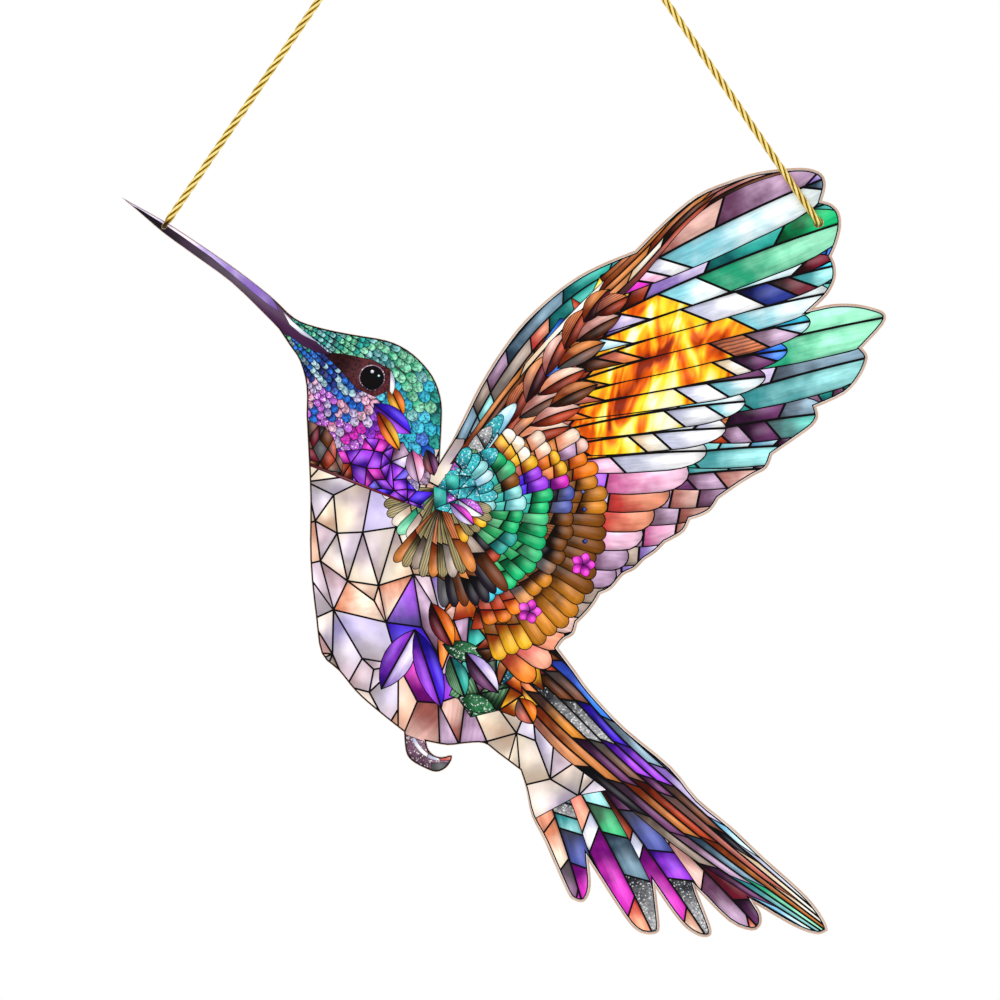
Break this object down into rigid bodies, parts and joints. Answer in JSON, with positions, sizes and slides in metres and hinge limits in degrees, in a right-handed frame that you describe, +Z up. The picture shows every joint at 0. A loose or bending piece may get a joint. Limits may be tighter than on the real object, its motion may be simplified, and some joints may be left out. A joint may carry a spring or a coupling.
{
  "type": "acrylic suncatcher",
  "caption": "Flat hummingbird suncatcher cut from clear acrylic, printed like stained glass, hung from a gold twisted cord.",
  "frame": {"origin": "the hanging point: the underside of the cord's bend, where a hook carries it, above the panel's middle plane", "axes": "+Z up, +Y from the printed front through the panel to its back, +X to the bird's tail side, so the bill points to -X"},
  "size_m": [0.2003, 0.0096, 0.3083],
  "materials": {
    "printed_acrylic": "glossy clear cast acrylic with a coloured stained-glass print on its front",
    "gold_cord": "twisted gold metallic thread"
  },
  "bodies": {
    "root": {"acrylic_panel": "printed_acrylic", "hanging_cord": "gold_cord", "wing_knot": "gold_cord", "bill_knot": "gold_cord"}
  },
  "joints": []
}
